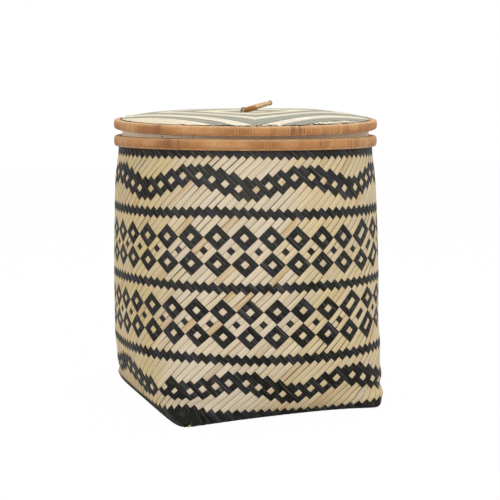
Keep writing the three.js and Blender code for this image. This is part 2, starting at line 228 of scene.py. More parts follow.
def make_floor():
    """A square in the plane z = 0, whose material turns to plain white for the camera's own rays."""
    corners = [(x * FLOOR_REACH, y * FLOOR_REACH, 0) for x, y in ((-1, -1), (1, -1), (1, 1), (-1, 1))]
    mesh = bpy.data.meshes.new("floor")
    mesh.from_pydata(corners, [], [(0, 1, 2, 3)])
    floor = bpy.data.objects.new("floor", mesh)
    bpy.context.scene.collection.objects.link(floor)
    look = Finish("floor_paint", 0.9, 0.0)
    look.finish(FLOOR_COLOUR)
    path = look.node("ShaderNodeLightPath", {}, {})
    glow = look.node("ShaderNodeEmission", {}, {"Color": (1.0, 1.0, 1.0)})
    shader = Socket(look.tree, look.shader.outputs[0])
    both = look.node("ShaderNodeMixShader", {}, {0: path * FLOOR_GLOW, 1: shader, 2: glow})
    output = look.tree.nodes["Material Output"]
    look.tree.links.new(both.link, output.inputs["Surface"])
    mesh.materials.append(look.material)


make_floor()

# The woven wall: flat strips of split stem, laid in two directions at 45 degrees. The pale strips
# rise to the right and the black ones fall to the right, each over or under the others as the
# pattern asks. The body starts on a square base and turns round towards the mouth.
TEETH = 100
ROUND_COLUMNS = 2 * TEETH
STRIP_THICKNESS = 0.0005
STRIP_LIFT = 0.00042
PLAIT_DEPTH = 0.001
FLOOR_ROOM = 0.0008
FOLD = 0.003
BASE_ARCH = 0.0035
ARCH_FADE = 0.045
CORNER_DRAW = 0.009
CORNER_TUCK = 0.0088
CORNER_TUCK_REACH = 0.013
CORNER_BULGE = 0.0046
CORNER_BULGE_HEIGHT = 0.031
CORNER_BULGE_REACH = 0.015
LOPSIDE = 0.5
LEAN_PER_ROW = 0.0304

# Stations of the wall from the base up: height, half the width, and the exponent n of the rounded
# square |x|^n + |y|^n that a level slice makes.
WALL_HEIGHTS = np.array([0, 0.0077, 0.0193, 0.0463, 0.0965, 0.193, 0.270, 0.340, 0.386, 0.403])
WALL_HALVES = np.array([0.166, 0.171, 0.1777, 0.1841, 0.1952, 0.1992, 0.1993, 0.1984, 0.1932, 0.1932])
WALL_SQUARENESS = np.array([20, 10, 5.4, 3.9, 2.7, 2.3, 2.15, 2.0, 2.0, 2.0])

# The plait's rows, counted down from the first crest of the upper wave, and their heights.
TOP_ROW = -8
EDGE_ROW = 58
ROW_MARKS = np.array([-9, 0, 8.5, 17, 25.5, 34, 42.5, 51, 55, 58])
ROW_HEIGHTS = np.array([0.3993, 0.347, 0.2955, 0.2437, 0.1929, 0.1418, 0.0907, 0.0397, 0.0186, 0.0])
CORNER_COLUMN = -5
SIDE_COLUMNS = ROUND_COLUMNS // 4


def through(marks, values, at):
    """A cubic through the marks: at each mark its slope is the mean slope of the two spans beside it."""
    slopes = np.gradient(values, marks)
    i = np.clip(np.searchsorted(marks, at) - 1, 0, len(marks) - 2)
    span = marks[i + 1] - marks[i]
    t = (at - marks[i]) / span
    start = (1 + 2 * t) * (1 - t) ** 2 * values[i] + t * (1 - t) ** 2 * span * slopes[i]
    return start + t**2 * (3 - 2 * t) * values[i + 1] - t**2 * (1 - t) * span * slopes[i + 1]


def rounded_square(angle, squareness):
    """Radius of |x|^n + |y|^n = 1 in the direction of the angle."""
    sine = np.abs(np.sin(angle)) ** squareness
    return (sine + np.abs(np.cos(angle)) ** squareness) ** (-1 / squareness)


TABLE_HEIGHTS = np.linspace(0, WALL_HEIGHTS[-1], 81)
TABLE_SHARES = np.linspace(0, 1, 401)
ANGLE_STEPS = 1440


def angle_table():
    """For each height, the angle at which each share of the way round is reached, by arc length."""
    angles = np.linspace(0, 2 * np.pi, ANGLE_STEPS + 1)
    table = []
    for squareness in through(WALL_HEIGHTS, WALL_SQUARENESS, TABLE_HEIGHTS):
        radius = rounded_square(angles, squareness)
        steps = np.hypot(np.diff(radius * np.sin(angles)), np.diff(radius * np.cos(angles)))
        way = np.concatenate([[0], np.cumsum(steps)])
        table.append(np.interp(TABLE_SHARES, way / way[-1], angles))
    return np.array(table)


ANGLES = angle_table()


def wall_point(share, height):
    """The plait's middle surface at a share of the way round from the front, at a height. The angle is
    read between four entries of the table, and the radius is the rounded square's there."""
    column = (share % 1) * (len(TABLE_SHARES) - 1)
    row = np.clip(height / TABLE_HEIGHTS[-1], 0, 1) * (len(TABLE_HEIGHTS) - 1)
    i = np.minimum(column.astype(int), len(TABLE_SHARES) - 2)
    j = np.minimum(row.astype(int), len(TABLE_HEIGHTS) - 2)
    a = column - i
    b = row - j
    low = ANGLES[j, i] * (1 - a) + ANGLES[j, i + 1] * a
    high = ANGLES[j + 1, i] * (1 - a) + ANGLES[j + 1, i + 1] * a
    angle = low * (1 - b) + high * b
    squareness = through(WALL_HEIGHTS, WALL_SQUARENESS, height)
    half = through(WALL_HEIGHTS, WALL_HALVES, height) - PLAIT_DEPTH
    radius = half * rounded_square(angle, squareness)
    return np.stack([radius * np.sin(angle), -radius * np.cos(angle), height], -1)


def fold(way):
    """Rounds the edge between wall and base: the way is the distance up the wall, negative on the base.
    Inset and rise are the two arms of one hyperbola."""
    bend = np.sqrt(way**2 + FOLD**2)
    return (bend - way) / 2, (bend + way) / 2


# A hand-plaited wall is never quite even. Each swell pushes the rows up, or the columns to the
# right, around one place: its size, its share of the way round, its row, and its reach in both.
ROW_SWELLS = [
    (0.0034, 0, 58, 9, 42),
    (0.0028, -0.125, 53, 0.025, 5),
    (0.0018, 0.085, 47, 0.03, 6),
    (0.0014, 0.07, 2, 0.06, 10),
    (0.005, -0.105, 49, 0.05, 12),
    (0.0085, -0.118, 60, 0.02, 6),
    (-0.0045, -0.245, 48, 0.035, 10),
    (-0.0075, 0.045, 58, 0.09, 16),
    (-0.003, 0.04, 58, 0.07, 4),
    (0.005, -0.085, 6, 0.06, 16),
    (-0.0025, 0.11, 16, 0.07, 8),
    (0.004, -0.175, 32, 0.07, 13),
]
COLUMN_SWELLS = [
    (0.35, -0.165, 38, 0.05, 13),
    (-0.4, 0.085, 21, 0.05, 8),
    (-3.0, -0.245, 50, 0.035, 5),
    (0.6, -0.14, 49, 0.04, 9),
    (-0.5, -0.025, 38, 0.05, 8),
    (-0.5, -0.01, 0, 0.04, 11),
    (-0.8, 0.04, 53, 0.06, 11),
    (1.1, 0.19, 19, 0.15, 60),
]
COLUMN_OFFSET = -0.4


def swollen(swells, share, row):
    """The sum of the swells at a place: each is a bell in the share of the way round and in the row."""
    total = np.zeros(np.broadcast(share, row).shape)
    for size, at_share, at_row, share_reach, row_reach in swells:
        off = (share - at_share + 0.5) % 1 - 0.5
        total += size * np.exp(-((off / share_reach) ** 2) - ((row - at_row) / row_reach) ** 2)
    return total


def arched(point):
    """The basket stands on its corners. Between them the base is arched up, by one less the square of x
    times y, and the foot of the wall with it, less and less as it rises. The corners bulge sideways a
    little above the floor and are tucked in at the floor, and the front ones are drawn forwards. Arch
    and bulge are stronger on the right, and the tuck at its near corner."""
    x, y, height = point[..., 0], point[..., 1], point[..., 2]
    fade = np.exp(-height / ARCH_FADE)
    corner = x * y / WALL_HALVES[0] ** 2
    arch = BASE_ARCH * (1 + LOPSIDE * x / WALL_HALVES[0]) * np.clip(1 - corner**2, 0, 1) * fade
    tip = np.clip(np.abs(corner), 0, 1) ** 4
    side = np.sign(x)
    bulge = np.exp(-(((height - CORNER_BULGE_HEIGHT) / CORNER_BULGE_REACH) ** 2))
    tuck = np.exp(-((height / CORNER_TUCK_REACH) ** 2))
    bulge *= CORNER_BULGE * (1 + LOPSIDE * side)
    tuck *= CORNER_TUCK * (1 + LOPSIDE * side * (y < 0))
    sideways = side * tip * (bulge - tuck)
    draw = -CORNER_DRAW * tip * fade * (y < 0)
    return point + np.stack([sideways, draw, arch], -1)


def on_wall(column, row):
    """A point of the wall from its place in the plait: the row gives the height and the column the share
    of the way round, each moved by its swells. The columns lean slightly, and the foot is folded."""
    even = (column - CORNER_COLUMN + LEAN_PER_ROW * (row - EDGE_ROW)) / ROUND_COLUMNS - 1 / 8
    height = through(ROW_MARKS, ROW_HEIGHTS, row) + swollen(ROW_SWELLS, even, row)
    share = even + (COLUMN_OFFSET + swollen(COLUMN_SWELLS, even, row)) / ROUND_COLUMNS
    inset, rise = fold(height)
    point = wall_point(share, np.maximum(height, 0))
    radius = np.hypot(point[..., 0], point[..., 1])
    point[..., :2] *= (1 - inset / radius)[..., None]
    point[..., 2] = rise + FLOOR_ROOM
    return arched(point)


def on_base(column, row, side):
    """A point of the base, reached from one side of the square: the column runs along that side and
    the rows past the edge run inwards. Near the edge the square takes on the wall's rounded corners."""
    middle = CORNER_COLUMN + SIDE_COLUMNS * (side + 0.5)
    x = (column - middle) / (SIDE_COLUMNS / 2)
    y = (row - EDGE_ROW) / (SIDE_COLUMNS / 2) - 1
    turn = side * np.pi / 2
    x, y = x * np.cos(turn) - y * np.sin(turn), x * np.sin(turn) + y * np.cos(turn)
    reach = np.maximum(np.maximum(np.abs(x), np.abs(y)), 1e-9)
    front_back = np.abs(y) >= np.abs(x)
    share_y = np.where(y < 0, x, 4 * reach - x)
    share = np.where(front_back, share_y, np.where(x > 0, 2 * reach + y, -2 * reach - y)) / reach / 8
    half = WALL_HALVES[0] - PLAIT_DEPTH
    way = reach**4 * swollen(ROW_SWELLS, share, EDGE_ROW) - (1 - reach) * half
    share += reach**4 * (COLUMN_OFFSET + swollen(COLUMN_SWELLS, share, EDGE_ROW)) / ROUND_COLUMNS
    edge = wall_point(share, np.maximum(way, 0))
    inset, rise = fold(way)
    scale = 1 - inset / half
    rounding = (scale**4)[..., None]
    square = np.stack([x, y], -1) / reach[..., None] * half
    flat = (rounding * edge[..., :2] + (1 - rounding) * square) * scale[..., None]
    return arched(np.concatenate([flat, (rise + FLOOR_ROOM)[..., None]], -1))


# Rows where black lies on top all round: under the rim, between the bands, and over the base's edge.
PLAIN_ROWS = [*range(TOP_ROW - 1, -4), 8, 9, 25, 26, 42, 43, 56, 57, 58, 59]
BASE_END_ROW = EDGE_ROW + 2
GRID_ROW = TOP_ROW - 1
GRID_COLUMN = CORNER_COLUMN - 3 * SIDE_COLUMNS // 2

# The two waves: rings of black round pale single cells that step up and down round the basket, each
# step so many columns to the right and rows down. Lower ones, at the back, make up the round. The
# lower wave closes at the near left corner, by a wider step, where pale strips lie over a side of its
# last ring, and two of its rings at the far left corner are black inside too.
WAVE = [(3, 1)] * 3 + [(4, 0)] + [(3, -1)] * 3 + [(4, 0)]
LOW_WAVE = [(3, 1)] * 2 + [(4, 0)] + [(3, -1)] * 2 + [(4, 0)]
FROM_TROUGH = WAVE[3:] + WAVE[:3]
LOW_FROM_TROUGH = LOW_WAVE[2:] + LOW_WAVE[:2]
LOWER_ROUND = [(3, 1)] + FROM_TROUGH * 3 + LOW_FROM_TROUGH * 4 + [(4, 0)] + FROM_TROUGH + [(4, 0), (5, -1)]
WAVES = [
    {"start": (-52, 0), "steps": WAVE * 5 + LOW_WAVE * 2 + [(4, 0)] + WAVE},
    {"start": (-10, 50), "steps": LOWER_ROUND},
]
OPEN_SIDE = [(-13, 49), (-12, 50), (-11, 49), (-10, 48)]
SHUT_SPOTS = [(-35, 49), (-32, 48)]

# The two bands of diamonds, each three strips by three with a cell of the other colour in its
# middle. One group of four strips closes each round, at the seams given here.
BANDS = [
    {"rows": (11, 24), "level": 6, "black_seam": 12, "black_group": 4},
    {"rows": (28, 41), "level": 11, "black_seam": 1, "black_group": 1},
]
PALE_SEAM = 68
PALE_GROUP = 23


def group_of(strip, seam, group):
    """The group of three that a strip is in, and whether it is inside it. The group that starts at the
    seam has four strips, and is numbered as given."""
    past = strip - seam - 4
    lap = past // TEETH
    place = past % TEETH
    in_lap = np.minimum(place // 3, TEETH // 3 - 1)
    spot = place - 3 * in_lap
    width = np.where(in_lap == TEETH // 3 - 1, 4, 3)
    return group + 1 + lap * (TEETH // 3) + in_lap, (spot > 0) & (spot < width - 1)


def lay(grid, places, black):
    """Sets the cells at the places given, each a column and a row, to black or to pale."""
    columns, rows = np.array(places).T
    grid[rows - GRID_ROW, (columns - GRID_COLUMN) % ROUND_COLUMNS] = black


def black_on_top():
    """Grid of rows by columns round the wall, true where a black strip lies over a pale one. In a band,
    a cell's level is its pale group's number less its black group's. In a wave, each pale spot is the
    middle of a black diamond of nine cells, with one cell more at its upper right and, at a trough, one
    at its lower right."""
    rows = np.arange(GRID_ROW, BASE_END_ROW + 1)[:, None]
    columns = np.arange(ROUND_COLUMNS) + GRID_COLUMN
    grid = np.isin(rows, PLAIN_ROWS) & (columns >= GRID_COLUMN)
    pale = (columns + rows) // 2
    black = (columns - rows) // 2
    for band in BANDS:
        black_group, black_inside = group_of(black, band["black_seam"], band["black_group"])
        pale_group, pale_inside = group_of(pale, PALE_SEAM, PALE_GROUP)
        level = pale_group - black_group - band["level"]
        inside = black_inside & pale_inside
        low, high = band["rows"]
        here = (rows >= low) & (rows <= high)
        grid |= here & (((np.abs(level) == 1) & ~inside) | ((level == 0) & inside))
    ring = [(i + j, i - j) for i in (-1, 0, 1) for j in (-1, 0, 1)]
    for wave in WAVES:
        steps = wave["steps"]
        spots = np.array(wave["start"]) + np.cumsum([(0, 0), *steps[:-1]], axis=0)
        for spot, step_in, step_out in zip(spots, [steps[-1], *steps], steps):
            trough = step_in == (3, 1) and step_out == (4, 0)
            lay(grid, spot + np.array(ring + [(2, -2)] + [(2, 2)] * trough), True)
        lay(grid, spots, False)
    lay(grid, OPEN_SIDE, False)
    lay(grid, SHUT_SPOTS, True)
    return grid


BLACK_GRID = black_on_top()


def black_at(column, row):
    """Whether black lies on top in a wall cell."""
    return BLACK_GRID[row - GRID_ROW, (column - GRID_COLUMN) % ROUND_COLUMNS]


# Each strip is one long ribbon, thin and crowned on both faces, that lies at the outer level where
# it shows and dives between two cells where it goes under. Here and there a pale one is narrower,
# and a gap opens beside it. The higher the rarity, the fewer gaps.
RIBBON_SECTION = np.array([(-1, 0), (-0.93, 0.58), (0, 0.72), (0.93, 0.58), (1, 0), (0, -0.6)])
DIVE = 0.24
PALE_SPREAD = 0.28
BLACK_SPREAD = 0.03
GAP_RARITY = 6
DRIFT = 0.012
DRIFT_ROWS = 5
WEAVE_SEED = 7


def cells(first, over, rng):
    """Three stations to a cell, two of them close to its ends, where the strip starts to dive. With each
    goes the strip's level, 1 over and -1 under, and a tone by chance for each stretch of a level."""
    starts = first + np.arange(len(over))
    places = (starts[:, None] + np.array([-0.5, -0.5 + DIVE, 0.5 - DIVE])).ravel()
    level = np.where(over, 1.0, -1.0)
    before = np.concatenate([level[:1], level[:-1]])
    levels = np.stack([(before + level) / 2, level, level], -1).ravel()
    stretch = np.concatenate([[0], np.cumsum(over[1:] != over[:-1])])
    tones = np.repeat(rng.random(stretch[-1] + 1)[stretch], 3)
    return {
        "station": np.append(places, starts[-1] + 0.5),
        "level": np.append(levels, level[-1]),
        "tone": np.append(tones, tones[-1]),
    }


def ribbon(place, cell, spread, rng):
    """One strip as a tube: the section's points across it at each station, each pushed out along the
    normal. Place gives the middle surface for a station and a share of the half width. The strip drifts
    from side to side, and narrows by the spread at most."""
    stations = cell["station"]
    marks = np.arange(stations[0] - DRIFT_ROWS, stations[-1] + DRIFT_ROWS, DRIFT_ROWS)
    fill = 1 - spread * np.interp(stations, marks, rng.random(len(marks)) ** GAP_RARITY)
    drift = DRIFT * np.interp(stations, marks, rng.uniform(-1, 1, len(marks)))
    across = RIBBON_SECTION[:, 0] * fill[:, None] + drift[:, None]
    points = place(stations[:, None] + 0 * across, across)
    along = np.gradient(points[:, 2], axis=0)
    normal = unit(np.cross(along, points[:, 4] - points[:, 0]))
    out = cell["level"][:, None] * STRIP_LIFT + RIBBON_SECTION[:, 1] * STRIP_THICKNESS
    return {
        "points": points + normal[:, None] * out[..., None],
        "way": way_along(points[:, 2]),
        "across": RIBBON_SECTION[:, 0],
        "tone": cell["tone"],
        "strip": rng.random(),
    }


def unit(vectors):
    """The vectors, each divided by its length."""
    return vectors / np.linalg.norm(vectors, axis=1)[:, None]


def way_along(path):
    """Distance along a path, at each of its points."""
    return np.concatenate([[0], np.cumsum(np.linalg.norm(np.diff(path, axis=0), axis=1))])


def tubes_object(name, tubes, material):
    """One mesh of many tubes, all in quads, ends included. Each vertex carries its way along the tube
    and its share across as UV, and the tone of its stretch and of its whole strip as attributes. A
    closed tube joins its last ring to its first."""
    vertices, quads, uvs, tones, strips = [], [], [], [], []
    first = 0
    for tube in tubes:
        rings, sides = tube["points"].shape[:2]
        closed = tube.get("closed", False)
        near = np.arange(rings if closed else rings - 1)[:, None] * sides + first
        far = (near - first + sides) % (rings * sides) + first
        j = np.arange(sides)
        k = (j + 1) % sides
        quads.append(np.stack([near + j, far + j, far + k, near + k], -1).reshape(-1, 4))
        if not closed:
            fan = np.arange(1, sides - 1, 2)[:, None]
            cap = np.concatenate([0 * fan, fan, fan + 1, fan + 2], 1) % sides
            quads.append(np.concatenate([first + cap, first + (rings - 1) * sides + cap[:, ::-1]]))
        vertices.append(tube["points"].reshape(-1, 3))
        way_across = np.broadcast_arrays(tube["way"][:, None], tube["across"])
        uvs.append(np.stack(way_across, -1).reshape(-1, 2))
        tones.append(np.repeat(tube["tone"], sides))
        strips.append(np.full(rings * sides, tube["strip"]))
        first += rings * sides
    quads = np.concatenate(quads)
    mesh = bpy.data.meshes.new(name)
    mesh.vertices.add(first)
    mesh.vertices.foreach_set("co", np.concatenate(vertices).ravel())
    mesh.loops.add(quads.size)
    mesh.loops.foreach_set("vertex_index", quads.ravel())
    mesh.polygons.add(len(quads))
    mesh.polygons.foreach_set("loop_start", np.arange(0, quads.size, 4))
    mesh.update(calc_edges=True)
    mesh.validate()
    mesh.shade_smooth()
    uv_layer = mesh.uv_layers.new(name="strip_uv")
    uv_layer.data.foreach_set("uv", np.concatenate(uvs)[quads.ravel()].ravel())
    for attribute, values in (("tone", tones), ("strip", strips)):
        mesh.attributes.new(attribute, "FLOAT", "POINT").data.foreach_set("value", np.concatenate(values))
    mesh.materials.append(material)
    piece = bpy.data.objects.new(name, mesh)
    bpy.context.scene.collection.objects.link(piece)
    return piece


def on_plait(column, row, side):
    """A point of the wall, or of the base once the row is past the edge."""
    wall = on_wall(column, np.minimum(row, EDGE_ROW))
    base = on_base(column, np.maximum(row, EDGE_ROW), side)
    return np.where((row <= EDGE_ROW)[..., None], wall, base)


def side_of(column):
    """Which side of the square a column is on at the edge, counted from the front."""
    return (column - CORNER_COLUMN) // SIDE_COLUMNS


def pale_strip(number, rng):
    """A pale strip rises to the right on the wall. Below, it crosses the whole base to the next side,
    where the base shows a plain two over, two under plait."""
    edge_column = 2 * number - EDGE_ROW
    side = side_of(edge_column)
    from_middle = edge_column - CORNER_COLUMN - SIDE_COLUMNS * side - SIDE_COLUMNS // 2
    base_rows = np.arange(1, from_middle + SIDE_COLUMNS // 2 - 2)
    wall_rows = np.arange(TOP_ROW, EDGE_ROW + 1)
    x = from_middle - base_rows
    y = base_rows - SIDE_COLUMNS // 2
    line = np.rint(x * np.sin(side * np.pi / 2) + y * np.cos(side * np.pi / 2)).astype(int)
    base_over = ((line % 4 < 2) == (side % 2 == 0)) & (base_rows > 1)
    over = np.concatenate([~black_at(2 * number - wall_rows, wall_rows), base_over])

    def place(station, across):
        return on_plait(2 * number - station + across / 2, station + across / 2, side)

    return ribbon(place, cells(TOP_ROW, over, rng), PALE_SPREAD, rng)


def black_strip(number, rng):
    """A black strip falls to the right, over the base's edge, and ends tucked under the third row there."""
    side = side_of(2 * number + EDGE_ROW)
    rows = np.arange(TOP_ROW, BASE_END_ROW + 1)

    def place(station, across):
        return on_plait(2 * number + station + across / 2, station - across / 2, side)

    return ribbon(place, cells(TOP_ROW, black_at(2 * number + rows, rows), rng), BLACK_SPREAD, rng)


PALE_CREAM = (0.60, 0.51, 0.385)
PALE_STRAW = (0.565, 0.435, 0.215)
PALE_TAN = (0.44, 0.26, 0.085)
PALE_GRAIN = (0.33, 0.215, 0.085)
PALE_GREY = (0.46, 0.41, 0.31)
BLACK_DEEP = (0.009, 0.0085, 0.007)
BLACK_WEAR_AND_SHEEN = (0.042, 0.041, 0.038)
BLACK_GREEN = (0.019, 0.022, 0.017)
BLACK_VIOLET = (0.034, 0.031, 0.041)
BLACK_FADE_AND_SHEEN = (0.235, 0.235, 0.17)
SCRATCH = (0.28, 0.26, 0.21)
# The side that a painted sheen draws paler: towards the view, a little left of the front.
SHEEN_SIDE = (-0.43, -0.90, 0.0)


def strip_fields(look):
    """What a strip's finish varies by: the way along it and the share across, the tones of its stretch
    and of the whole strip, a grain that runs along it, and a slow change. Last comes a painted sheen: how
    much paler the place is drawn where the wall faces the view, most round the near left corner, less on
    the rest of the front, none behind."""
    way, across = look.way_across()
    tone = look.attribute("tone")
    strip = look.attribute("strip")
    grain = look.noise(look.vector(way * 45, across * 8, strip * 900), 3.0, 0.65)
    slow = look.noise(look.vector(way * 16, across * 1.2, strip * 500), 1.0)
    place = look.place()
    facing = look.node("ShaderNodeVectorMath", {"operation": "DOT_PRODUCT"}, {0: place, 1: SHEEN_SIDE}, 1)
    front = look.step(0 - look.parts(place)[1], 0.06, 0.16)
    # The painted sheen: paler where the wall faces the view, and a little on all the front.
    painted_sheen = look.step(facing + slow * 0.03, 0.18, 0.215) * 0.55 + front * 0.25
    return way, across, tone, strip, grain, slow, painted_sheen


def pale_finish(name, cream_share, cream):
    """Pale strip with fine grain along it: straw-yellow, turned to the cream given by the painted sheen
    where the wall faces the view and by the share given, which on the lid is a painted reflection. Some
    strips are deeper, and a stretch here and there is tan or grey. Along its edges it is drawn darker, a
    painted shade between neighbouring strips."""
    look = Finish(name, 0.5, 0.25)
    _, across, tone, strip, grain, slow, painted_sheen = strip_fields(look)
    # Cream where the painted sheen falls, by the share given and by the stretch's tone.
    colour = look.mix((painted_sheen + cream_share + (tone - 0.5) * 0.5).clamp(), PALE_STRAW, cream)
    tan = look.step(tone * 0.7 + slow * 0.5, 0.8, 0.98) * 0.85 + look.step(strip, 0.3, 0.9) * 0.12
    colour = look.mix((tan * (1 - cream_share)).clamp(), colour, PALE_TAN)
    colour = look.layer(colour, PALE_GREY, strip * 0.7 + slow * 0.5, 0.75, 1.0, 0.5)
    colour = look.layer(colour, PALE_GRAIN, grain, 0.5, 0.75, 0.45)
    # Painted shade: darker along the strip's edges, where it meets the next strip. The slow term is its own
    # tone.
    shade = 1.02 - look.step(abs(across), 0.88, 1.0) * 0.3 + (slow - 0.5) * 0.35
    return look.finish(look.shaded(colour, shade), grain, 0.00012, 0.5)


def black_finish(name, fade):
    """Dyed black, a little worn: grey, green and violet streaks along the strip, and a few pale scratches.
    A painted sheen makes it paler higher up, where its worn patches show, and where the wall faces the
    view. The share given draws it towards grey, which on the lid is a painted reflection of the bright
    sky, and painted shade darkens its edges."""
    look = Finish(name, 0.45, 0.06 + 0.3 * fade)
    way, across, tone, strip, grain, slow, painted_sheen = strip_fields(look)
    height = look.parts(look.place())[2]
    # Painted sheen: the worn patches and the side facing the view are drawn paler higher up the wall.
    wear_and_sheen = look.step(slow * 0.9 + tone * 0.35, 0.5, 0.95) * look.step(height, -0.05, 0.3) * 0.6
    painted_sheen = look.step(height, 0.1, 0.4) * painted_sheen
    colour = look.mix((wear_and_sheen + painted_sheen).clamp(), BLACK_DEEP, BLACK_WEAR_AND_SHEEN)
    colour = look.layer(colour, BLACK_GREEN, tone, 0.6, 0.9, 0.6)
    colour = look.layer(colour, BLACK_VIOLET, strip * 0.6 + slow * 0.5, 0.62, 0.85, 0.7)
    colour = look.layer(colour, BLACK_WEAR_AND_SHEEN, grain, 0.5, 0.72, 0.4)
    thin = look.noise(look.vector(way * 22, across * 12, strip * 333), 0.0)
    colour = look.layer(colour, SCRATCH, thin, 0.71, 0.78, 0.7)
    # The share given draws the strip towards a pale grey. On the lid this is a painted reflection of the
    # bright sky.
    colour = look.mix(fade, colour, BLACK_FADE_AND_SHEEN)
    # Painted shade along the strip's edges, where it meets the next one.
    colour = look.layer(colour, BLACK_DEEP, abs(across), 0.85, 1.0, 0.5)
    return look.finish(colour, grain, 0.00012, 0.5)


def make_wall():
    """All the strips of the body, in two meshes to each colour."""
    rng = np.random.default_rng(WEAVE_SEED)
    pale = pale_finish("pale_strip", 0.15, PALE_CREAM)
    black = black_finish("black_strip", 0.0)
    for colour, strip_maker, material in (("pale", pale_strip, pale), ("black", black_strip, black)):
        strips = [strip_maker(number, rng) for number in range(TEETH)]
        for half in (1, 2):
            piece = tubes_object(f"body_{colour}_strips_{half}", strips[half - 1 :: 2], material)
            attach(piece, "basket")
            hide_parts("woven_body")


make_wall()

# The rims. Each is a pair of split cane hoops, wound with fine cane that lies turn by turn right
# round both. The winding is done in five lengths, and a joint shows where one meets the next.
WIND_PITCH = 0.0039
WIND_RIDGE = 0.0006
WIND_SHAPE = np.array([0, 0.75, 0.95, 1, 0.95, 0.75])
WIND_POINTS = 24
WIND_SQUARENESS = 2.8
WIND_SLACK = 0.3
WIND_LEAN = 0.0009
LEAN_MARKS = 9
LEAN_EASE = 10
JOINT_LEAN_FADE = 25
JOINT_GAP = 0.0006
WIND_SEED = 11

# A rim's section, the angles of its joints and how far each leans, and the patches where its turns
# are darker or paler than the rest: the angle, the reach and the strength of each.
RIM = {
    "radius": 0.19395,
    "half_width": 0.00605,
    "half_height": 0.0084,
    "middle": 0.3943,
    "patches": [
        (-48.6, 0.4, 1.9), (-55, 6, 0.8), (-19, 4, 0.7),
        (10.5, 0.3, 1.5), (38, 14, -0.9), (-86, 12, -0.7),
    ],
    "joints": [-69, 15, 87, 159, 231, 291],
    "leans": [0.0, 0.0012, -0.0016, 0.0, 0.001, 0.0],
}

# The lid's own frame: turned about the basket's axis, a little low at its front.
LID_TURN = math.radians(-20.8)
LID_TILT = math.radians(2.2)
LID_REST = 0.4128
LID_PLACE = (
    Matrix.Rotation(LID_TURN, 4, "Z")
    @ Matrix.Translation((0, 0, LID_REST))
    @ Matrix.Rotation(LID_TILT, 4, "X")
)
LID_RIM = {
    "radius": 0.1944,
    "half_width": 0.0056,
    "half_height": 0.00725,
    "middle": 0.00725,
    "patches": [
        (-39, 2.8, 1.3), (18.8, 1.6, 1.5), (21.9, 0.4, 1.9),
        (46.4, 0.4, 1.9), (38, 8, -0.9), (-58, 9, -0.8),
    ],
    "joints": [-60, 24, 54, 138, 222, 300],
    "leans": [0.0, 0.0, 0.0022, 0.0, 0.001, 0.0],
}


def placed(tube, matrix):
    """The tube in another frame."""
    turn = np.array(matrix)[:3, :3]
    return {**tube, "points": tube["points"] @ turn.T + np.array(matrix)[:3, 3]}


def superellipse(half_width, half_height, power, count):
    """Points of |x|^n + |y|^n = 1 at even angles, from the middle of the lower edge round by the outside.
    First column upwards, second column outwards."""
    angle = 2 * np.pi * np.arange(count) / count
    circle_points = np.stack([-np.cos(angle), np.sin(angle)], -1)
    return np.sign(circle_points) * np.abs(circle_points) ** (2 / power) * (half_height, half_width)


def swept(path, out, section, closed=False):
    """Carries a section along a path: each point is the path's, plus the section's first number to the
    side and its second number outwards."""
    if closed:
        along = np.roll(path, -1, axis=0) - np.roll(path, 1, axis=0)
    else:
        along = np.gradient(path, axis=0)
    side = unit(np.cross(out, along))
    section = np.broadcast_to(section, (len(path), *section.shape[-2:]))
    points = path[:, None] + side[:, None] * section[..., :1] + out[:, None] * section[..., 1:]
    reach = np.abs(section[0, :, 0]).max()
    return {
        "points": points,
        "way": way_along(path),
        "across": section[0, :, 0] / reach,
        "tone": np.zeros(len(path)),
        "strip": 0.0,
        "closed": closed,
    }


def circle(angle, radius, height):
    """A level circle, counted from the front towards the right, and its outward directions."""
    out = np.stack([np.sin(angle), -np.cos(angle), 0 * angle], -1)
    return out * radius + np.array([0, 0, height]), out


def wound_length(rim, start, end, start_lean, end_lean, rng):
    """One length of winding: a rounded box section carried round the rim, which swells and falls once a
    turn. Slack and tone are chance, turn by turn, and a patch adds a bell about its angle to the tone.
    The lean is chance too, but none at the joints, plus each joint's own, which fades."""
    span = np.radians(end - start) - JOINT_GAP / rim["radius"]
    turns = round(span * rim["radius"] / WIND_PITCH)
    detail = len(WIND_SHAPE)
    station = np.arange(detail * turns + 1)
    share = station / station[-1]
    angle = np.radians((start + end) / 2) + span * (share - 0.5)
    slack = np.repeat(rng.uniform(-WIND_SLACK, 0, turns + 1), detail)[: len(station)]
    swell = WIND_RIDGE * (WIND_SHAPE[station % detail] - 1 + slack)
    section = superellipse(rim["half_width"], rim["half_height"], WIND_SQUARENESS, WIND_POINTS)
    size = np.array([rim["half_height"], rim["half_width"]])
    sections = section * (1 + swell[:, None, None] / size)
    tube = swept(*circle(angle, rim["radius"], rim["middle"]), sections)
    marks = np.linspace(0, 1, LEAN_MARKS)
    lean = WIND_LEAN * np.interp(share, marks, rng.uniform(-1, 1, LEAN_MARKS))
    lean *= np.minimum(1, LEAN_EASE * np.minimum(share, 1 - share))
    lean += start_lean * np.exp(-JOINT_LEAN_FADE * share)
    lean += end_lean * np.exp(-JOINT_LEAN_FADE * (1 - share))
    along = np.stack([np.cos(angle), np.sin(angle), 0 * angle], -1)
    shift = lean[:, None] * section[:, 0] / rim["half_height"]
    tube["points"] += along[:, None] * shift[..., None]
    tone = np.repeat(rng.random(turns + 1), detail)[: len(station)]
    for at, reach, strength in rim["patches"]:
        off = (np.degrees(angle) - at + 180) % 360 - 180
        tone += strength * np.exp(-((off / reach) ** 2))
    tube.update(tone=tone, way=station * WIND_PITCH / detail, strip=rng.random())
    return tube


CANE_LIGHT = (0.45, 0.20, 0.064)
CANE_DEEP = (0.31, 0.125, 0.038)
CANE_PALE = (0.55, 0.34, 0.16)
CANE_STAIN = (0.22, 0.075, 0.026)


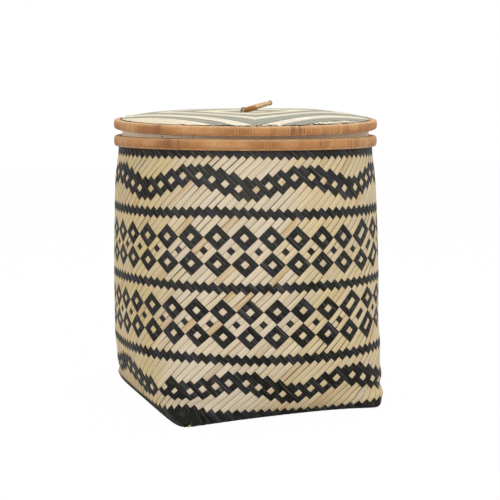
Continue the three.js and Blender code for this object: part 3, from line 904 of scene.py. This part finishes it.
def cane_finish(name, groove_shade):
    """Split cane, orange-brown. Each turn has its own tone, groups of turns are darker or paler, and a few
    turns are stained. A painted highlight makes it paler along its upper edge and painted shade deeper
    along its lower one, and painted shade, as deep as the groove shade given says, lies between one turn
    and the next, where the way is a whole number of turns."""
    look = Finish(name, 0.42, 0.28)
    way, across = look.way_across()
    tone = look.attribute("tone")
    strip = look.attribute("strip")
    slow = look.noise(look.vector(way * 14, strip * 70, across * 0.3))
    patch = look.noise(look.vector(way * 28, strip * 40, 5.0), 1.0)
    grain = look.noise(look.vector(way * 1400, across * 5, strip * 90))
    colour = look.layer(CANE_LIGHT, CANE_DEEP, slow * 0.9 + tone * 0.1, 0.4, 0.72, 0.8)
    colour = look.layer(colour, CANE_PALE, 0.75 - slow * 0.8 + tone * 0.1, 0.4, 0.62, 0.5)
    colour = look.layer(colour, CANE_STAIN, patch * 0.9 + tone * 0.1, 0.62, 0.72, 0.6)
    # Painted highlight along the upper edge and painted shade along the lower one, for light from above.
    colour = look.layer(colour, CANE_PALE, across, 0.2, 1.0, 0.55)
    colour = look.layer(colour, CANE_DEEP, 0 - across, -0.1, 0.9, 0.85)
    colour = look.layer(colour, CANE_STAIN, tone, 1.1, 1.9, 0.75)
    colour = look.layer(colour, CANE_PALE, 0 - tone, -0.2, 0.8, 0.6)
    # Painted shade in the groove between one turn and the next.
    turn = way * (1 / WIND_PITCH)
    between = 1 - look.step(turn.combine("PINGPONG", turn, 0.5), 0.0, 0.2)
    shade = 0.88 + grain * 0.24 - between * look.step(slow, 0.3, 0.62) * groove_shade
    return look.finish(look.shaded(colour, shade), grain, 0.0001, 0.4)


CANE = cane_finish("cane", 0.4)


def make_winding(name, rim, matrix, body, nodes):
    """A rim's five lengths of winding, each its own piece."""
    joints, leans = rim["joints"], rim["leans"]
    for index in range(len(joints) - 1):
        rng = np.random.default_rng(WIND_SEED + index)
        tube = wound_length(rim, joints[index], joints[index + 1], leans[index], leans[index + 1], rng)
        piece = tubes_object(f"{name}_{index + 1}", [placed(tube, matrix)], CANE)
        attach(piece, body)
        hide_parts(f"{nodes}_{index + 1}")


make_winding("rim_winding", RIM, Matrix.Identity(4), "basket", "rim_binding")
make_winding("lid_winding", LID_RIM, LID_PLACE, "lid", "lid_binding")

# The hoops: two to each rim, split from thicker cane, one outside the plait's edge and one inside
# it. They lie under the windings, and little of them ever shows.
HOOP_LIGHT = (0.60, 0.40, 0.20)
HOOP_DARK = (0.40, 0.24, 0.11)


def hoop_finish():
    """Pale cane with faint bands, as it changes colour along the stem."""
    look = Finish("hoop_cane", 0.5)
    bands = look.noise(look.place(), 3.0, scale=40.0)
    return look.finish(look.layer(HOOP_LIGHT, HOOP_DARK, bands, 0.35, 0.7), bands)


def paint_nodes(word, material):
    """Gives the carried-over solids with the word in their names their finish."""
    for name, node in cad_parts.items():
        if word in name:
            node.data.materials.clear()
            node.data.materials.append(material)


paint_nodes("hoop", hoop_finish())

# The collar: one pale strip of wood bent round inside the rim, where it stands up for the lid to
# drop over. Its ends meet at the back.
COLLAR = {"radius": 0.1861, "half_width": 0.0015, "low": 0.3799, "high": 0.4186}
COLLAR_STEPS = 240
COLLAR_JOINT = 0.002
COLLAR_SECTION = superellipse(COLLAR["half_width"], (COLLAR["high"] - COLLAR["low"]) / 2, 8, 16)
COLLAR_CREAM = (0.92, 0.80, 0.62)
COLLAR_PINK = (0.88, 0.69, 0.50)
COLLAR_GRAIN = (0.70, 0.50, 0.34)


def collar_finish():
    """Planed pale wood whose grain runs round the basket, with slow changes to a pinker tone."""
    look = Finish("collar_wood", 0.55)
    way, across = look.way_across()
    grain = look.noise(look.vector(way * 12, across * 14, 0.0), 3.0)
    slow = look.noise(look.vector(way * 9, across * 0.5, 4.0), 1.0)
    colour = look.layer(COLLAR_CREAM, COLLAR_PINK, slow, 0.4, 0.65)
    colour = look.layer(colour, COLLAR_GRAIN, grain, 0.5, 0.75, 0.5)
    return look.finish(colour, grain, 0.0001, 0.4)


def make_collar():
    """A thin upright section carried round the mouth, open by a hair's breadth at the back."""
    half_gap = COLLAR_JOINT / 2
    angle = np.linspace(np.pi + half_gap, 3 * np.pi - half_gap, COLLAR_STEPS + 1)
    path = circle(angle, COLLAR["radius"], (COLLAR["low"] + COLLAR["high"]) / 2)
    piece = tubes_object("collar_strip", [swept(*path, COLLAR_SECTION)], collar_finish())
    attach(piece, "basket")
    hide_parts("mouth_collar")


make_collar()

# The pegs: short dark twigs through the collar, in two pairs. They rest on the rim's top, so that
# the collar can't slip down.
PEG_DARK = (0.05, 0.028, 0.016)
PEG_WORN = (0.13, 0.075, 0.04)


def peg_finish():
    """Dark wood with fine paler spots."""
    look = Finish("peg_wood", 0.6)
    spots = look.noise(look.place(), scale=900.0)
    return look.finish(look.layer(PEG_DARK, PEG_WORN, spots, 0.4, 0.7), spots, 0.0001)


paint_nodes("peg", peg_finish())

# The lid's dome: the same flat strips, pale ones one way and black ones the other, in square bands
# round a middle that isn't quite the lid's own. The strips' ends are held in the lid's rim.
LID_CELL = 0.0087
LID_REACH = 0.1895
LID_STRIPS = 22
LID_MIDDLE = 1
LID_BLACK_RINGS = (3, 4, 8, 9, 10, 13, 14, 15, 18, 19)
DOME_HEIGHT = 0.0252
DOME_FALL = 0.0116
DOME_EDGE = 0.194
DOME_POWER = 4.6
SHOULDER = 0.0024
SHOULDER_PLACE = 0.105
SHOULDER_REACH = 0.05
SHOULDER_FADE = 6
DIMPLE_DEPTH = 0.003
DIMPLE_RADIUS = 0.024
LID_SEED = 5
LID_RELIEF = 1.9
FRAY_LIFT = 0.0015
FRAY_NARROW = 0.5
FRAY_REACH = 1.2
END_ROOM = 0.1
# Cream of the lid's pale strips, paler than the wall's, for a painted reflection of the bright sky.
LID_SHEEN_CREAM = (0.64, 0.575, 0.46)
PALE_WAY = np.array([1, -1]) / math.sqrt(2)
BLACK_WAY = np.array([1, 1]) / math.sqrt(2)


def dome(flat):
    """Top of the dome: it falls by a power of the radius, dips where the handle is tied, and swells to
    a shoulder on its right, which fades towards the rim."""
    radius = np.hypot(flat[..., 0], flat[..., 1])
    dip = DIMPLE_DEPTH * np.exp(-((radius / DIMPLE_RADIUS) ** 2))
    swell = SHOULDER * np.exp(-(((flat[..., 0] - SHOULDER_PLACE) / SHOULDER_REACH) ** 2))
    swell *= 1 - (radius / DOME_EDGE) ** SHOULDER_FADE
    return DOME_HEIGHT - DOME_FALL * (radius / DOME_EDGE) ** DOME_POWER - dip + swell


def black_on_lid(i, j):
    """Whether black is on top where black strip i crosses pale strip j: in square rings of cells, told
    by their number outwards from the middle one."""
    ring = np.maximum(np.abs(i - LID_MIDDLE), np.abs(j - LID_MIDDLE))
    return np.isin(ring, LID_BLACK_RINGS)


def lid_strip(number, way, turn, over, rng):
    """A strip across the lid, laid over the dome and cut to its circle: the station counts cells along
    its way and the number to the side. Near its ends it frays: it narrows and stands up, by chance."""
    cell = cells(-LID_STRIPS - 1, over, rng)
    inner = max(abs(number) - 0.5, 0) * LID_CELL
    limit = math.sqrt(LID_REACH**2 - inner**2) / LID_CELL
    kept = cell["station"][np.abs(cell["station"]) < limit - END_ROOM]
    station = np.concatenate([[-limit], kept, [limit]])
    cell = {key: np.interp(station, cell["station"], cell[key]) for key in cell}
    cell["level"] *= LID_RELIEF
    side = np.array([-way[1], way[0]])
    narrow = FRAY_NARROW * rng.random()
    lift = FRAY_LIFT * rng.uniform(-0.3, 1)

    def place(at, across):
        frayed = np.exp(-(((limit - np.abs(at)) / FRAY_REACH) ** 2))
        off = turn * number + across / 2 * (1 - narrow * frayed)
        flat = LID_CELL * (at[..., None] * way + off[..., None] * side)
        radius = np.maximum(np.hypot(flat[..., 0], flat[..., 1]), 1e-9)
        flat = flat * np.minimum(1, LID_REACH / radius)[..., None]
        height = dome(flat) - PLAIT_DEPTH + lift * frayed
        return np.concatenate([flat, height[..., None]], -1)

    return placed(ribbon(place, cell, BLACK_SPREAD, rng), LID_PLACE)


def make_lid():
    """All the strips of the dome, one mesh to each colour."""
    rng = np.random.default_rng(LID_SEED)
    numbers = np.arange(-LID_STRIPS, LID_STRIPS + 1)
    steps = np.arange(-LID_STRIPS - 1, LID_STRIPS + 2)
    pale = [lid_strip(j, PALE_WAY, 1, ~black_on_lid(steps, j), rng) for j in numbers]
    black = [lid_strip(i, BLACK_WAY, -1, black_on_lid(i, steps), rng) for i in numbers]
    # The lid's finishes carry a painted reflection of the bright sky on a dome seen at a glancing angle: a
    # high share of a paler cream, and black drawn towards grey.
    finishes = (pale_finish("lid_pale_strip", 0.8, LID_SHEEN_CREAM), black_finish("lid_black_strip", 0.9))
    for colour, strips, material in zip(("pale", "black"), (pale, black), finishes):
        piece = tubes_object(f"lid_{colour}_strips", strips, material)
        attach(piece, "lid")
        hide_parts("woven_lid")
        "plait" if colour == "pale" else "black_strip"


make_lid()

# The handle: a ring of cane, tied down at one side by turns of black strip through the dome, so that
# it leans out over the lid. Orange cane is wound round it next to the ties, and a dark band goes
# round it opposite them.
HANDLE_RADIUS = 0.0208
HANDLE_ROD = 0.0029
HANDLE_OFFSET = -0.0032
HANDLE_HINGE = 0.0271
HANDLE_RISE = math.radians(15)
HANDLE_PLACE = (
    LID_PLACE
    @ Matrix.Translation((HANDLE_OFFSET, 0, HANDLE_HINGE))
    @ Matrix.Rotation(-HANDLE_RISE, 4, "Y")
)
HANDLE_STEPS = 120
WRAP_TURNS = 9
WRAP_FROM = 37
WRAP_TO = 90
WRAP_DETAIL = 24
WRAP_RADIUS = 0.0035
WRAP_SECTION = superellipse(0.0006, 0.00098, 2.5, 8)
END_BAND_RADIUS = 0.0034
END_BAND_SECTION = superellipse(0.0005, 0.0025, 3, 12)
TIE_OFFSETS = (-0.0024, 0, 0.0024)
TIE_HALVES = (0.0037, 0.0059)
TIE_MIDDLE = 0.0249
LOOP_STEPS = 48
TIE_SECTION = superellipse(0.0008, 0.00118, 2.5, 10)
ROD_OLIVE = (0.42, 0.26, 0.11)
ROD_TAN = (0.60, 0.37, 0.18)
ROD_SPECK = (0.12, 0.065, 0.025)


def rod_finish():
    """Peeled cane, tan and olive in patches, with small dark specks."""
    look = Finish("handle_cane", 0.45)
    place = look.place()
    patch = look.noise(place, scale=260.0)
    speck = look.noise(place, scale=900.0)
    colour = look.layer(ROD_OLIVE, ROD_TAN, patch, 0.4, 0.62)
    colour = look.layer(colour, ROD_SPECK, speck, 0.58, 0.68, 0.8)
    return look.finish(colour, patch, 0.0002, 0.5)


def ring_point(along, reach, height):
    """A point by its angle round the ring from the ties, its reach from the ring's centre and height."""
    x = HANDLE_RADIUS - reach * np.cos(along)
    return np.stack(np.broadcast_arrays(x, -reach * np.sin(along), height), -1)


def handle_ring():
    """A round section carried round the ring, from the ties back to the ties."""
    along = 2 * np.pi * np.arange(HANDLE_STEPS) / HANDLE_STEPS
    path = ring_point(along, HANDLE_RADIUS, 0)
    out = ring_point(along, HANDLE_RADIUS + 1, 0) - path
    return swept(path, out, superellipse(HANDLE_ROD, HANDLE_ROD, 2, 20), closed=True)


def handle_wrap():
    """A helix of flat cane round the rod: one turn of the helix for each turn of cane."""
    share = np.linspace(0, 1, WRAP_DETAIL * WRAP_TURNS + 1)
    along = np.radians(WRAP_FROM + (WRAP_TO - WRAP_FROM) * share)
    turn = 2 * np.pi * WRAP_TURNS * share
    axis = ring_point(along, HANDLE_RADIUS, 0)
    path = ring_point(along, HANDLE_RADIUS + WRAP_RADIUS * np.cos(turn), WRAP_RADIUS * np.sin(turn))
    return swept(path, (path - axis) / WRAP_RADIUS, WRAP_SECTION)


def loop_round(centre, half_length, half_height, section):
    """A closed upright oval about a centre: x goes by the sine of the angle, z by less its cosine."""
    angle = np.linspace(0, 2 * np.pi, LOOP_STEPS, endpoint=False)
    x, z = np.sin(angle), -np.cos(angle)
    path = np.array(centre) + np.stack([half_length * x, 0 * x, half_height * z], -1)
    out = np.stack([x / half_length, 0 * x, z / half_height], -1)
    return swept(path, unit(out), section, closed=True)


def make_handle():
    """The ring, its wrap and its band turn with the handle. The ties stay with the lid."""
    band = loop_round((2 * HANDLE_RADIUS, 0, 0), END_BAND_RADIUS, END_BAND_RADIUS, END_BAND_SECTION)
    wrap_cane = cane_finish("wrap_cane", 0.0)
    worn_strip = black_finish("tie_black_strip", 0.35)
    faded_strip = black_finish("band_black_strip", 0.9)
    pieces = [
        ("handle_rod", handle_ring(), rod_finish(), HANDLE_PLACE, "handle", "handle_ring", "handle_cane"),
        ("handle_winding", handle_wrap(), wrap_cane, HANDLE_PLACE, "handle", "handle_wrap", "binding_cane"),
        ("handle_band", band, faded_strip, HANDLE_PLACE, "handle", "handle_end_band", "black_strip"),
    ]
    for number, y in enumerate(TIE_OFFSETS, 1):
        tie = loop_round((HANDLE_OFFSET, y, TIE_MIDDLE), *TIE_HALVES, TIE_SECTION)
        name, node = f"tie_strip_{number}", f"handle_tie_{number}"
        pieces.append((name, tie, worn_strip, LID_PLACE, "lid", node, "black_strip"))
    for name, tube, material, matrix, body, node, slot in pieces:
        piece = tubes_object(name, [placed(tube, matrix)], material)
        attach(piece, body)
        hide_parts(node)


make_handle()
